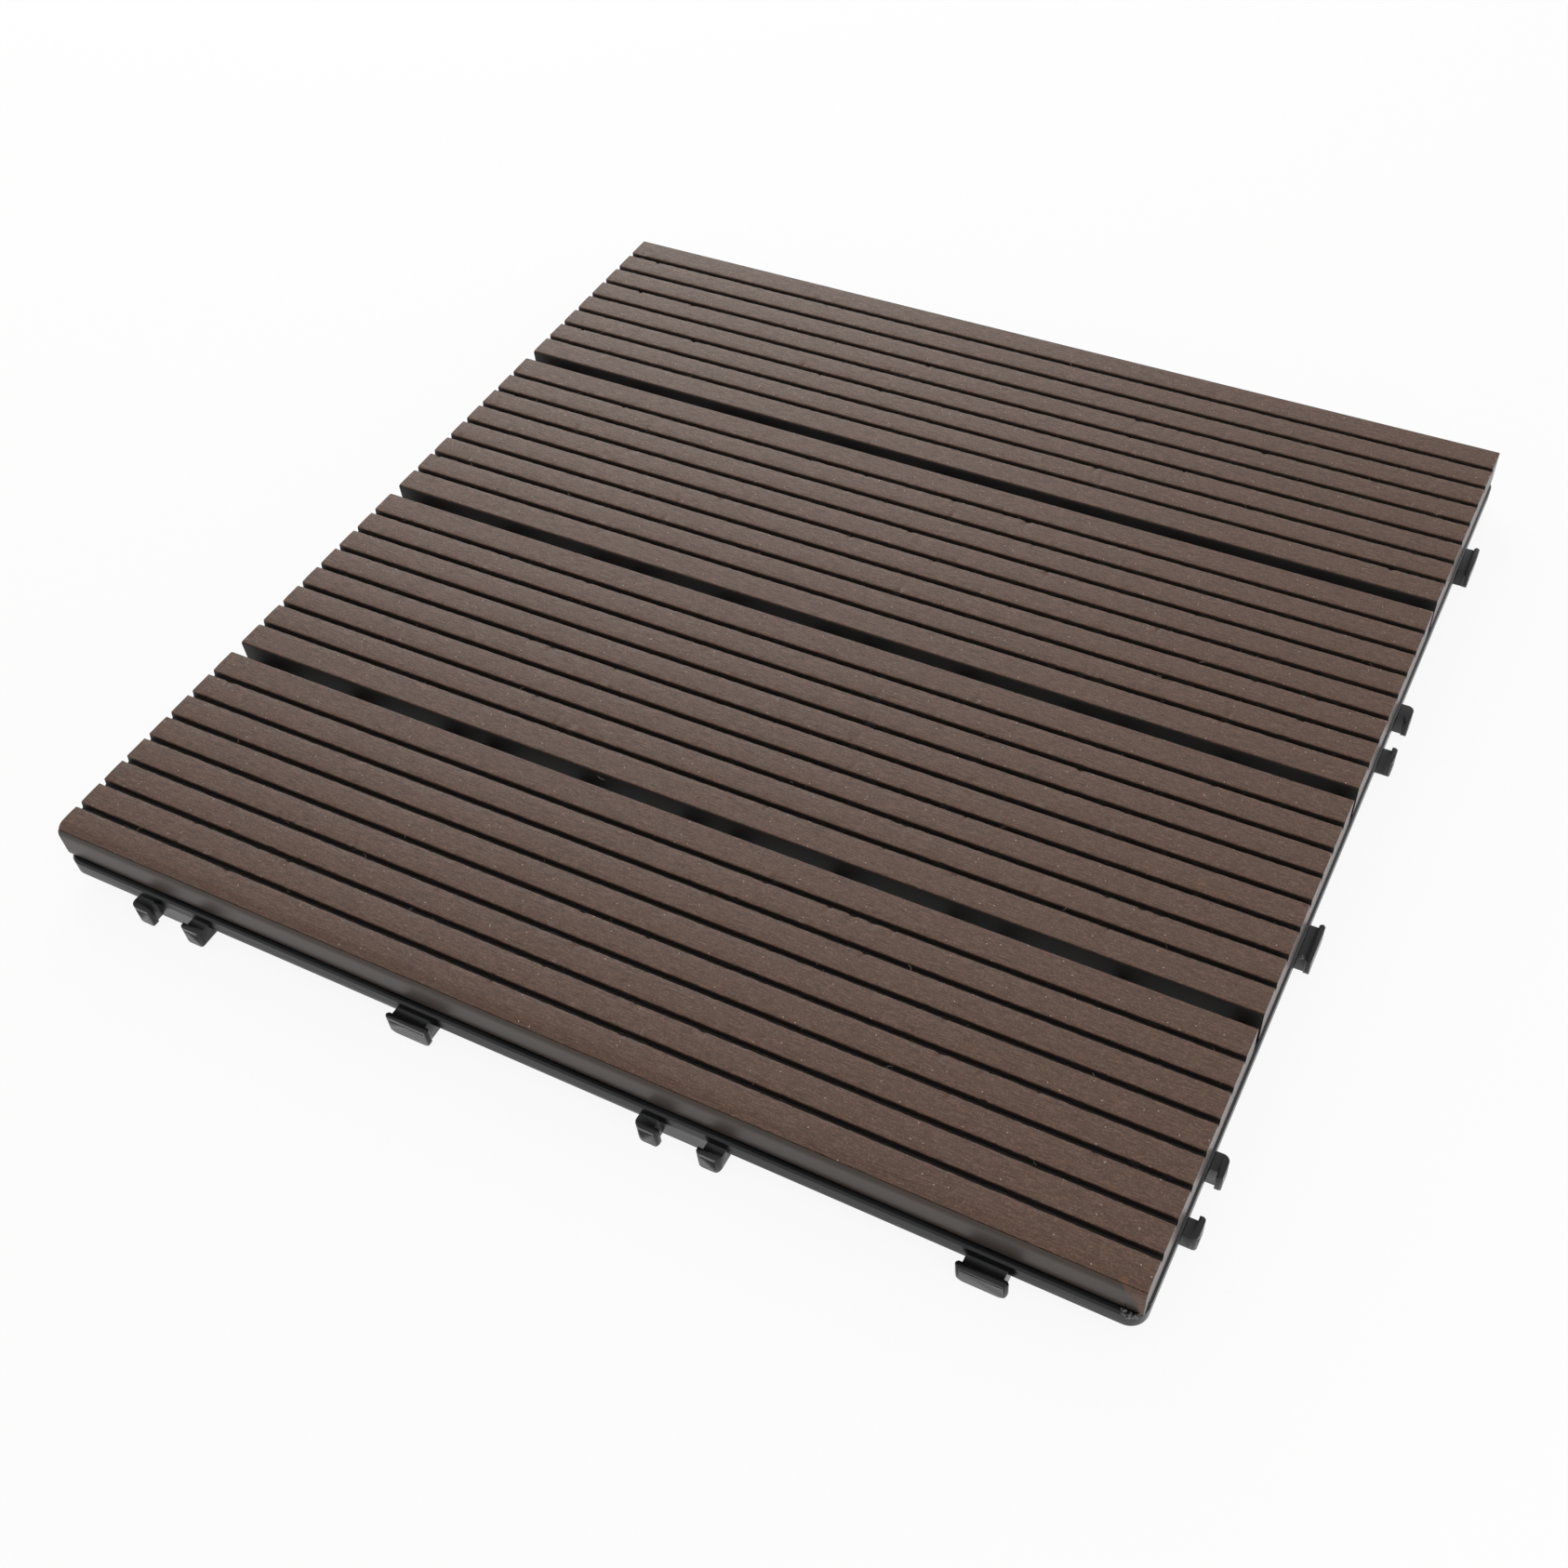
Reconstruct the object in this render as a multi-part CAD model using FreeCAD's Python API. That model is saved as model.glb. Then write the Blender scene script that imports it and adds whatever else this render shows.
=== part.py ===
import FreeCAD, Part
import math
import os

# Interlocking deck tile: four ribbed wood-plastic slats screwed from below
# onto one moulded plastic grid that has clips on all four sides.
# Millimetres. X runs along the slats, Y across them, Z up.
# The origin is the middle of the footprint on the floor.

V = FreeCAD.Vector

# Sizes of the tile as a whole
TILE = 300.0            # outer size of the grid's rim, both ways
BASE_H = 10.0           # floor to the seat of the slats
SLAT_COUNT = 4
SLAT_GAP = 5.3
END_LEDGE = 0.6         # rim left bare past the slat ends
SIDE_LEDGE = 2.05       # rim left bare in front of the first slat and behind the last

# Section of a slat
SLAT_T = 11.0
SLAT_EDGE_R = 1.8       # rounding along the two long top edges
SLAT_FOOT_R = 0.8       # rounding along the two long bottom edges
GROOVE_COUNT = 7
OUTER_RIB_W = 8.36      # long edge of the slat to the middle of its first groove
GROOVE_W = 1.7          # at the top face
GROOVE_TAPER = 0.3      # each flank leans in by this much
GROOVE_D = 2.1
RIB_CHAMFER = 0.35

# Rim, perimeter wall and webs of the grid
RIM_H = 4.4             # height of the visible skirt
RIM_T = 1.8
RIM_R = 4.5             # corner rounding seen from above
RIM_CHAMFER = 0.5       # along the skirt's top edge
LEDGE_T = 1.8           # plate that joins the skirt to the perimeter wall
WALL_INSET = 6.0        # skirt face to the perimeter wall's outer face
WALL_T = 2.0
WEB_FLOOR = 1.6         # webs stop this far above the floor, so water runs off
FIRST_LINE = 35.55      # rim face to the first web line, which is also a clip's middle
WEB_T = 4.0             # single web, carries the screws
TWIN_WEB_T = 2.0
TWIN_WEB_OFFSET = 7.0   # twin webs lie this far each side of their line
FOOT_LAP = 1.0          # the square feet reach this far up into the webs

# Screws and the square bosses they pass through, on the outermost web lines
BOSS_WALL = 2.1         # beside the screw head
BOSS_SEAT_T = 3.0       # plastic clamped between screw head and slat
SCREW_D = 3.5
SCREW_HEAD_D = 7.0
SCREW_HEAD_H = 2.3
SCREW_COVER = 1.5       # slat left between the screw's point and the groove floor
SCREW_RECESS_W = 0.9
SCREW_RECESS_L = 4.2
SCREW_RECESS_D = 1.2
SCREW_FIT = 0.2         # on the diameter, hole over shank
TIP_FIT = 0.6           # hole past the screw's point
HEAD_FIT = 0.8          # pocket over head, across

# Clips
CLIP_OUT = 3.5          # how far the clips stand out from the skirt
CLIP_BOTTOM = 0.5       # above the floor
CLIP_LAP = 1.2          # the clips reach this far up the skirt
CLIP_FIT = 0.3          # play per side between a T head and a hook pair
EAR_T = 1.5             # thickness of the ears and barbs, outwards
T_NECK_W = 9.8
T_HEAD_W = 12.5
HOOK_ARM_W = 4.95
HOOK_CORNER_R = 1.8
CLIP_CHAMFER = 0.5
CLIP_LOWER_R = 2.4      # lead-in on the lower corners
BARB_CHAMFER = 1.0      # on the barb's lower corner
LIP_H = 1.3             # lip along a clip's top, above its small groove
LIP_GROOVE_H = 0.4
LIP_GROOVE_D = 0.3
LIP_GROOVE_END = 1.2    # the groove stops this far from the clip's sides
BACK_RECESS = 0.4       # backing plate lies this far behind the skirt face
BACK_T = 2.4

# Sizes worked out from the ones above
HALF = TILE / 2.0
SLAT_L = TILE - 2.0 * END_LEDGE
SLAT_W = (TILE - 2.0 * SIDE_LEDGE - (SLAT_COUNT - 1) * SLAT_GAP) / SLAT_COUNT
SLAT_PITCH = SLAT_W + SLAT_GAP
GROOVE_PITCH = (SLAT_W - 2.0 * OUTER_RIB_W) / (GROOVE_COUNT - 1)
LINE_PITCH = (TILE - 2.0 * FIRST_LINE) / (SLAT_COUNT - 1)
LINES = [(i - (SLAT_COUNT - 1) / 2.0) * LINE_PITCH for i in range(SLAT_COUNT)]
TWIN_LINES = [line + LINE_PITCH / 2.0 for line in LINES[:-1]]
RIM_Z = BASE_H - RIM_H
WALL_OUT = HALF - WALL_INSET
WALL_IN = WALL_OUT - WALL_T
WALL_MID = WALL_OUT - WALL_T / 2.0
BOSS_POCKET = (SCREW_HEAD_D + HEAD_FIT) / 2.0
BOSS_HALF = BOSS_POCKET + BOSS_WALL
SCREW_SPOTS = [(x, y) for x in (LINES[0], LINES[-1]) for y in LINES]
BOSS_SEAT_Z = BASE_H - BOSS_SEAT_T
SCREW_BITE = SLAT_T - GROOVE_D - SCREW_COVER
SCREW_HOLE_D = SCREW_D + SCREW_FIT
CLIP_TOP = RIM_Z + CLIP_LAP
EAR_BACK = CLIP_OUT - EAR_T
POCKET = T_HEAD_W / 2.0 + CLIP_FIT
MOUTH = T_NECK_W / 2.0 + CLIP_FIT
HOOK_OUTER = POCKET + HOOK_ARM_W
PAST = 1.0              # how far a cutting shape runs past what it cuts


def profile(points, plane):
    """Face from corner points (a, b, size); plane is 'xy', 'xz' or 'yz'.
    A size above 0 rounds the corner by that radius, below 0 chamfers it, 0 leaves it."""
    def place(a, b):
        if plane == "xy":
            return V(a, b, 0)
        if plane == "xz":
            return V(a, 0, b)
        return V(0, a, b)

    n = len(points)
    corners = []
    for i in range(n):
        ax, ay, size = points[i]
        px, py, _ = points[i - 1]
        qx, qy, _ = points[(i + 1) % n]
        to_p = math.hypot(px - ax, py - ay)
        to_q = math.hypot(qx - ax, qy - ay)
        p = ((px - ax) / to_p, (py - ay) / to_p)
        q = ((qx - ax) / to_q, (qy - ay) / to_q)
        half = math.acos(max(-1.0, min(1.0, p[0] * q[0] + p[1] * q[1]))) / 2.0
        run = size / math.tan(half) if size > 0 else -size
        start = (ax + p[0] * run, ay + p[1] * run)
        stop = (ax + q[0] * run, ay + q[1] * run)
        middle = None
        if size > 0:
            deep = (size / math.sin(half) - size) / (2.0 * math.cos(half))
            middle = (ax + (p[0] + q[0]) * deep, ay + (p[1] + q[1]) * deep)
        corners.append((start, middle, stop))
    edges = []
    for i in range(n):
        start, middle, stop = corners[i]
        if middle is not None:
            edges.append(Part.Arc(place(*start), place(*middle), place(*stop)).toShape())
        elif start != stop:
            edges.append(Part.makeLine(place(*start), place(*stop)))
        after = corners[(i + 1) % n][0]
        if math.hypot(after[0] - stop[0], after[1] - stop[1]) > 1e-6:
            edges.append(Part.makeLine(place(*stop), place(*after)))
    return Part.Face(Part.Wire(edges))


def box(x0, x1, y0, y1, z0, z1):
    return Part.makeBox(x1 - x0, y1 - y0, z1 - z0, V(x0, y0, z0))


def prism(face, z0, z1):
    solid = face.extrude(V(0, 0, z1 - z0))
    solid.translate(V(0, 0, z0))
    return solid


def square(half, radius, z0, z1):
    corners = [(-half, -half, radius), (half, -half, radius),
               (half, half, radius), (-half, half, radius)]
    return prism(profile(corners, "xy"), z0, z1)


def moved(shape, x, y):
    copy = shape.copy()
    copy.translate(V(x, y, 0))
    return copy


def turned(shape, quarter):
    copy = shape.copy()
    copy.rotate(V(0, 0, 0), V(0, 0, 1), 90.0 * quarter)
    return copy


def save(shape, name):
    shape.exportStep("parts/" + name + ".step")


def slat_profile():
    """Section across a slat, its seat at z = 0."""
    w = SLAT_W / 2.0
    top = GROOVE_W / 2.0
    low = top - GROOVE_TAPER
    points = [(-w, 0, SLAT_FOOT_R), (w, 0, SLAT_FOOT_R), (w, SLAT_T, SLAT_EDGE_R)]
    for i in reversed(range(GROOVE_COUNT)):
        c = (i - (GROOVE_COUNT - 1) / 2.0) * GROOVE_PITCH
        points.append((c + top, SLAT_T, -RIB_CHAMFER))
        points.append((c + low, SLAT_T - GROOVE_D, 0))
        points.append((c - low, SLAT_T - GROOVE_D, 0))
        points.append((c - top, SLAT_T, -RIB_CHAMFER))
    points.append((-w, SLAT_T, SLAT_EDGE_R))
    return profile(points, "yz")


def make_slat(index):
    """Extruded board, drilled from below where the screws of its web line come."""
    y = (index - (SLAT_COUNT - 1) / 2.0) * SLAT_PITCH
    board = slat_profile().extrude(V(SLAT_L, 0, 0))
    board.translate(V(-SLAT_L / 2.0, y, BASE_H))
    holes = [Part.makeCylinder(SCREW_HOLE_D / 2.0, SCREW_BITE + TIP_FIT, V(spot[0], spot[1], BASE_H))
             for spot in SCREW_SPOTS if spot[1] == LINES[index]]
    return board.cut(Part.makeCompound(holes))


# The clips are drawn on the front side: u runs along it and w points outwards.
def clip_body(plan, elevation):
    """Plan outline (u, w, size) raised to the clip's height, trimmed to its
    outline (u, z, size) seen from the front, with the groove under its lip."""
    face = profile([(u, -HALF - w, size) for u, w, size in plan], "xy")
    body = prism(face, CLIP_BOTTOM, CLIP_TOP)
    side = profile(elevation, "xz").extrude(V(0, -(HALF - WALL_IN + CLIP_OUT + PAST), 0))
    side.translate(V(0, -WALL_IN, 0))
    us = [point[0] for point in elevation]
    front = -HALF - CLIP_OUT
    groove_top = CLIP_TOP - LIP_H
    groove = box(min(us) + LIP_GROOVE_END, max(us) - LIP_GROOVE_END, front - PAST,
                 front + LIP_GROOVE_D, groove_top - LIP_GROOVE_H, groove_top)
    return body.common(side).cut(groove)


def make_t_clip():
    """T-shaped head on a neck that grows out of the perimeter wall."""
    neck = T_NECK_W / 2.0
    head = T_HEAD_W / 2.0
    root = WALL_MID - HALF
    plan = [(-neck, root, 0), (-neck, EAR_BACK, 0), (-head, EAR_BACK, -CLIP_CHAMFER),
            (-head, CLIP_OUT, -CLIP_CHAMFER), (head, CLIP_OUT, -CLIP_CHAMFER),
            (head, EAR_BACK, -CLIP_CHAMFER), (neck, EAR_BACK, 0), (neck, root, 0)]
    elevation = [(-head, CLIP_BOTTOM, CLIP_LOWER_R), (head, CLIP_BOTTOM, CLIP_LOWER_R),
                 (head, CLIP_TOP, 0), (-head, CLIP_TOP, 0)]
    return clip_body(plan, elevation)


def make_hook():
    """Right-hand hook of a pair; its barb points to the middle of the pair."""
    root = WALL_MID - HALF
    plan = [(POCKET, root, 0), (POCKET, EAR_BACK, 0), (MOUTH, EAR_BACK, 0),
            (MOUTH, CLIP_OUT, -CLIP_CHAMFER), (HOOK_OUTER, CLIP_OUT, HOOK_CORNER_R),
            (HOOK_OUTER, root, 0)]
    elevation = [(MOUTH, CLIP_BOTTOM, -BARB_CHAMFER), (HOOK_OUTER, CLIP_BOTTOM, CLIP_LOWER_R),
                 (HOOK_OUTER, CLIP_TOP, 0), (MOUTH, CLIP_TOP, 0)]
    return clip_body(plan, elevation)


def make_hook_pair():
    """Two hooks and the backing plate that closes the pocket between them."""
    right = make_hook()
    left = right.mirror(V(0, 0, 0), V(1, 0, 0))
    reach = HOOK_OUTER - CLIP_LOWER_R
    back = -HALF + BACK_RECESS
    plate = box(-reach, reach, back, back + BACK_T, CLIP_BOTTOM, RIM_Z + LEDGE_T)
    return [right, left, plate]


def make_skirt():
    """Rim: outer skirt and the ledge plate that the slat ends lie on."""
    skirt = square(HALF, RIM_R, RIM_Z, BASE_H)
    top_edges = [e for e in skirt.Edges
                 if min(v.Z for v in e.Vertexes) > BASE_H - 1e-6]
    skirt = skirt.makeChamfer(RIM_CHAMFER, top_edges)
    hollow = square(HALF - RIM_T, RIM_R - RIM_T, RIM_Z - PAST, BASE_H - LEDGE_T)
    middle = square(WALL_IN, 0, RIM_Z - PAST, BASE_H + PAST)
    return skirt.cut(hollow).cut(middle)


def make_wall():
    wall = square(WALL_OUT, 0, WEB_FLOOR, BASE_H - LEDGE_T / 2.0)
    return wall.cut(square(WALL_IN, 0, WEB_FLOOR - PAST, BASE_H + PAST))


def make_webs():
    """Single webs on the screw lines and twin webs halfway between them."""
    runs = [(line, WEB_T / 2.0) for line in LINES]
    for line in TWIN_LINES:
        runs.append((line - TWIN_WEB_OFFSET, TWIN_WEB_T / 2.0))
        runs.append((line + TWIN_WEB_OFFSET, TWIN_WEB_T / 2.0))
    webs = []
    for at, t in runs:
        webs.append(box(-WALL_MID, WALL_MID, at - t, at + t, WEB_FLOOR, BASE_H))
        webs.append(box(at - t, at + t, -WALL_MID, WALL_MID, WEB_FLOOR, BASE_H))
    return webs


def make_feet():
    """Square feet under the twin web crossings, and the screw bosses, which are feet too."""
    outer = TWIN_WEB_OFFSET + TWIN_WEB_T / 2.0
    inner = TWIN_WEB_OFFSET - TWIN_WEB_T / 2.0
    top = WEB_FLOOR + FOOT_LAP
    foot = square(outer, 0, 0, top).cut(square(inner, 0, -PAST, top + PAST))
    boss = square(BOSS_HALF, 0, 0, BASE_H)
    feet = [moved(foot, x, y) for x in TWIN_LINES for y in TWIN_LINES]
    return feet + [moved(boss, x, y) for x, y in SCREW_SPOTS]


def make_clips():
    """Hook pair, T, hook pair, T along every side, going round the tile."""
    pair = make_hook_pair()
    tee = [make_t_clip()]
    clips = []
    for quarter in range(4):
        for i, line in enumerate(LINES):
            for solid in (pair if i % 2 == 0 else tee):
                clips.append(turned(moved(solid, line, 0), quarter))
    return clips


def make_base():
    base = make_skirt().multiFuse([make_wall()] + make_webs() + make_feet() + make_clips())
    shank = Part.makeCylinder(SCREW_HOLE_D / 2.0, BASE_H + 2.0 * PAST, V(0, 0, -PAST))
    hole = shank.fuse(square(BOSS_POCKET, 0, -PAST, BOSS_SEAT_Z))
    holes = [moved(hole, x, y) for x, y in SCREW_SPOTS]
    return base.cut(Part.makeCompound(holes)).removeSplitter()


def make_screw():
    """Pan-head screw, head down, its seat at z = 0."""
    head = Part.makeCylinder(SCREW_HEAD_D / 2.0, SCREW_HEAD_H, V(0, 0, -SCREW_HEAD_H))
    shank = Part.makeCylinder(SCREW_D / 2.0, BOSS_SEAT_T + SCREW_BITE)
    arm = SCREW_RECESS_L / 2.0
    w = SCREW_RECESS_W / 2.0
    low = -SCREW_HEAD_H - PAST
    high = -SCREW_HEAD_H + SCREW_RECESS_D
    cross = box(-arm, arm, -w, w, low, high).fuse(box(-w, w, -arm, arm, low, high))
    return head.fuse(shank).cut(cross)


def make_screws():
    """One solid a screw, each left at its own turn, as a screwdriver leaves them."""
    master = make_screw()
    screws = []
    for i, (x, y) in enumerate(SCREW_SPOTS):
        screw = master.copy()
        screw.rotate(V(0, 0, 0), V(0, 0, 1), 37.0 * i)
        screw.translate(V(x, y, BOSS_SEAT_Z))
        screws.append(screw)
    return Part.makeCompound(screws)


os.makedirs("parts", exist_ok=True)
base = make_base()
save(base, "base_grid")
slats = [make_slat(i) for i in range(SLAT_COUNT)]
names = ["slat_front"] + ["slat_" + n for n in ("second", "third", "fourth", "fifth")]
names = names[:SLAT_COUNT - 1] + ["slat_back"]
for slat, name in zip(slats, names):
    save(slat, name)
save(make_screws(), "slat_screws")

print("base solids", len(base.Solids), "valid", base.isValid(), "volume", round(base.Volume))
print("tile height", BASE_H + SLAT_T, "slat volume", round(slats[0].Volume))
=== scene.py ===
# %% [markdown]
# # A deck tile, dressed in Blender
# The real object is a square floor tile for terraces. Four ribbed slats of
# wood-plastic composite are screwed from below onto one black moulded grid,
# and the grid's clips lock the tile to its neighbours. The solids come from
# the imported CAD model; this script gives each of them its real surface.

# %% Load the frame
import math
import bmesh
import bpy
from mathutils import Euler, Matrix, Vector


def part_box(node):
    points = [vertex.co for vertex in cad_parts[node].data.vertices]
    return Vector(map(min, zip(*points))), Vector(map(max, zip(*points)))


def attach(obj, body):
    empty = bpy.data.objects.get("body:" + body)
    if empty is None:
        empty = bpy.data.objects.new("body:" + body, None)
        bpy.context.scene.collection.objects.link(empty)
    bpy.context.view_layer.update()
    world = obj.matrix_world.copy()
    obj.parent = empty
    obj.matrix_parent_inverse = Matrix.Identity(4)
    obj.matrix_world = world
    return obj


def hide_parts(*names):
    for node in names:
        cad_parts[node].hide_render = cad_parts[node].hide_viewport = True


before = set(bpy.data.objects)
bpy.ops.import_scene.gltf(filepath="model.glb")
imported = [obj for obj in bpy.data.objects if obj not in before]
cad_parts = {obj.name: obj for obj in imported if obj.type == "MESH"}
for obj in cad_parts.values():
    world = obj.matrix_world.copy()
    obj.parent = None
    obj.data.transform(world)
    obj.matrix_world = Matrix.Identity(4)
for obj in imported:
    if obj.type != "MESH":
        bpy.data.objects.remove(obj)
MM = 0.001
scene = bpy.context.scene
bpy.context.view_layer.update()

# %% [markdown]
# ## The camera
# The photograph was taken from the front right and from above. The place,
# turn and lens below are those at which the groove lines and the slat ends
# of a 300 mm tile fall where the picture shows them.

# %% Camera
CAMERA_AT = (180.81, -312.56, 363.01)
CAMERA_TURN = (40.463, 2.674, 26.785)
SENSOR = 36.0
LENS = 40.749
SHIFT = (-0.0391, 0.0184)
CLIP_START = 10.0

camera = bpy.data.objects.new("camera", bpy.data.cameras.new("camera"))
camera.location = [v * MM for v in CAMERA_AT]
camera.rotation_euler = Euler([math.radians(v) for v in CAMERA_TURN])
camera.data.sensor_width = SENSOR
camera.data.lens = LENS
camera.data.shift_x, camera.data.shift_y = SHIFT
camera.data.clip_start = CLIP_START * MM
scene.collection.objects.link(camera)
scene.camera = camera
scene.view_settings.view_transform = "Standard"
print("camera height, mm:", CAMERA_AT[2], "lens, mm:", LENS)

# %% [markdown]
# ## Small helpers for nodes
# A material and a Geometry Nodes tree are both graphs. One helper adds a node,
# sets its properties and feeds its inputs, each with a number, a colour or
# another node. A second one turns the sRGB colour that the eye knows to the
# linear one that the shader wants.

# %% Node helpers
MATH = "ShaderNodeMath"
NOISE = "ShaderNodeTexNoise"
MIX = "ShaderNodeMix"
RANGE = "ShaderNodeMapRange"            # inputs: value, from low, from high, to low, to high
SOFT = {"interpolation_type": "SMOOTHSTEP"}
COLOURS = {"data_type": "RGBA"}


def linear(code):
    """sRGB hex to linear RGBA."""
    parts = [int(code[i:i + 2], 16) / 255.0 for i in (1, 3, 5)]
    return [v / 12.92 if v <= 0.04045 else ((v + 0.055) / 1.055) ** 2.4 for v in parts] + [1.0]


def add(tree, kind, feeds=None, **settings):
    """Adds a node. feeds maps an input's number, or the name of one in use, to a
    value, a hex colour, a node (its first output in use) or a pair (node, output)."""
    node = tree.nodes.new(kind)
    for name, value in settings.items():
        setattr(node, name, value)
    for key, value in (feeds or {}).items():
        named = [s for s in node.inputs if s.name == key and s.enabled]
        target = named[0] if named else node.inputs[key]
        if isinstance(value, bpy.types.Node):
            tree.links.new(next(s for s in value.outputs if s.enabled), target)
        elif isinstance(value, tuple) and isinstance(value[0], bpy.types.Node):
            tree.links.new(value[0].outputs[value[1]], target)
        elif isinstance(value, str) and value.startswith("#"):
            target.default_value = linear(value)
        else:
            target.default_value = value
    return node


def new_material(name, **sockets):
    """A material with one Principled shader and its fixed sockets set."""
    made = bpy.data.materials.new(name)
    made.use_nodes = True
    shader = made.node_tree.nodes["Principled BSDF"]
    for key, value in sockets.items():
        shader.inputs[key.replace("_", " ")].default_value = value
    place = add(made.node_tree, "ShaderNodeTexCoord")
    return made, made.node_tree, shader, place


def per_metre(size_mm):
    """Texture scale at which one feature is about this long."""
    return 1.0 / (size_mm * MM)


# %% [markdown]
# ## Small helpers for objects
# An object is some data with a place in the scene. A shape that was drawn
# point by point is written out as a mesh, and one that a modifier or a curve
# makes is evaluated and kept as a plain mesh.

# %% Object helpers
def new_object(name, data):
    """An object for some data, put into the scene."""
    made = bpy.data.objects.new(name, data)
    scene.collection.objects.link(made)
    return made


def written_out(drawing, name):
    """The mesh that was drawn, under its name. The drawing is gone afterwards."""
    made = bpy.data.meshes.new(name)
    drawing.to_mesh(made)
    drawing.free()
    return made


def evaluated_mesh(piece):
    """A plain mesh of the object, as its modifiers or its curve make it."""
    bpy.context.view_layer.update()
    evaluated = piece.evaluated_get(bpy.context.evaluated_depsgraph_get())
    return bpy.data.meshes.new_from_object(evaluated)


# %% [markdown]
# ## Wood-plastic composite, brushed
# The slats are wood flour in polyethylene, extruded and then wire-brushed on
# their walking side. Brushing tears the skin into short streaks that run
# along the board, shows the reddish and greyish clumps of the filler, and
# leaves pale specks of bare fibre. The grooves and the long sides keep the
# darker, smoother skin of the die. Only the two sides that lie open show the
# skin's own colour; in the grooves and on the sides between the boards it is
# painted near-black as shade. The section carries a "brushed" attribute that
# says which is which, so one material mixes both finishes.

# %% Patterns of the brushed composite
STREAK = (4.2, 0.42)        # mm, along and across the board
FINE_STREAK = (1.5, 0.27)
CLUMP = (12.0, 3.0)
TONE = 55.0                 # mm, drift of the colour from place to place
GRAIN = 0.45
LEVEL_FROM = 0.5            # least Z of a normal that counts as facing up
SKIN_ROUGHNESS = 0.38       # the die leaves the skin smooth enough to mirror the floor
# The near-black colour of the skin between the boards and in the grooves is painted shade; this roughness
# only makes it dull.
SHELTERED_ROUGHNESS = 0.6   # between the boards it stays dull and nearly black
OPEN_BEYOND = 142.5         # mm from the middle: the two long sides that lie open

brushed_wpc, tree, shader, place = new_material(
    "wood-plastic composite, extruded and brushed", IOR=1.5, Specular_IOR_Level=0.42)
brushed = add(tree, "ShaderNodeAttribute", attribute_name="brushed")
torn = add(tree, "ShaderNodeAttribute", attribute_name="torn")
on_top = (brushed, "Fac")
position = add(tree, "ShaderNodeSeparateXYZ", {0: (place, "Object")})
# open_side is 1 on the two long sides that lie open; everywhere else the skin's colour is replaced by
# painted shade.
from_middle = add(tree, MATH, {0: (position, "Y")}, operation="ABSOLUTE")
open_side = add(tree, MATH, {0: from_middle, 1: OPEN_BEYOND * MM}, operation="GREATER_THAN")
slope = add(tree, "ShaderNodeSeparateXYZ", {0: (add(tree, "ShaderNodeNewGeometry"), "Normal")})
level = add(tree, MATH, {0: (slope, "Z"), 1: LEVEL_FROM}, operation="GREATER_THAN")

patterns = []
for (along, across), detail in ((STREAK, 3.0), (FINE_STREAK, 2.0), (CLUMP, 4.0)):
    scale = (per_metre(along), per_metre(across), per_metre(across))
    grid_of = add(tree, "ShaderNodeMapping", {"Vector": (place, "Object"), "Scale": scale})
    patterns.append(add(tree, NOISE, {"Vector": grid_of, "Scale": 1.0, "Detail": detail,
                                      "Roughness": 0.62}))
streaks, fine, clumps = patterns
tone = add(tree, NOISE, {"Vector": (place, "Object"), "Scale": per_metre(TONE), "Detail": 2.0})
grain = add(tree, NOISE, {"Vector": (place, "Object"), "Scale": per_metre(GRAIN), "Detail": 1.0})
print("patterns, mm: streaks", STREAK, FINE_STREAK, "clumps", CLUMP, "tone", TONE, "grain", GRAIN)

# %% [markdown]
# ## Layers of colour
# Each layer mixes one paint over what lies below, in a share that follows a
# pattern: it goes smoothly from one value to another while the pattern goes
# from its low to its high limit.

# %% Material: brushed composite
colour = "#583e2f"
for pattern, low, high, share_low, share_high, paint in (
        (clumps, 0.36, 0.66, 0.0, 0.5, "#523f33"),
        (tone, 0.35, 0.65, 0.0, 0.25, "#5a4133"),
        (streaks, 0.30, 0.50, 0.50, 0.0, "#312017"),
        (streaks, 0.52, 0.72, 0.0, 0.40, "#735646"),
        (fine, 0.34, 0.50, 0.42, 0.0, "#2f1f16"),
        (fine, 0.55, 0.72, 0.0, 0.42, "#816555"),
        (grain, 0.32, 0.48, 0.22, 0.0, "#30211a"),
        (grain, 0.55, 0.70, 0.0, 0.24, "#8a7062")):
    share = add(tree, RANGE, {0: pattern, 1: low, 2: high, 3: share_low, 4: share_high}, **SOFT)
    colour = add(tree, MIX, {"Factor": share, "A": colour, "B": paint}, **COLOURS)

for cell, radius, kept_share, strength, paint in (  # specks of bare fibre, and finer dust
        (3.1, 0.20, 0.12, 0.75, "#b9aa9d"),
        (1.2, 0.14, 0.08, 0.55, "#a08c7c")):
    cells = add(tree, "ShaderNodeTexVoronoi", {"Vector": (place, "Object"), "Scale": per_metre(cell)},
                voronoi_dimensions="2D")
    spot = add(tree, RANGE, {0: (cells, "Distance"), 1: radius / cell * 0.6, 2: radius / cell,
                             3: strength, 4: 0.0}, **SOFT)
    lot = add(tree, "ShaderNodeSeparateColor", {0: (cells, "Color")})
    kept = add(tree, MATH, {0: (lot, 0), 1: kept_share}, operation="LESS_THAN")
    shown = add(tree, MATH, {0: kept, 1: level}, operation="MULTIPLY")
    share = add(tree, MATH, {0: spot, 1: shown}, operation="MULTIPLY")
    colour = add(tree, MIX, {"Factor": share, "A": colour, "B": paint}, **COLOURS)

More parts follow.
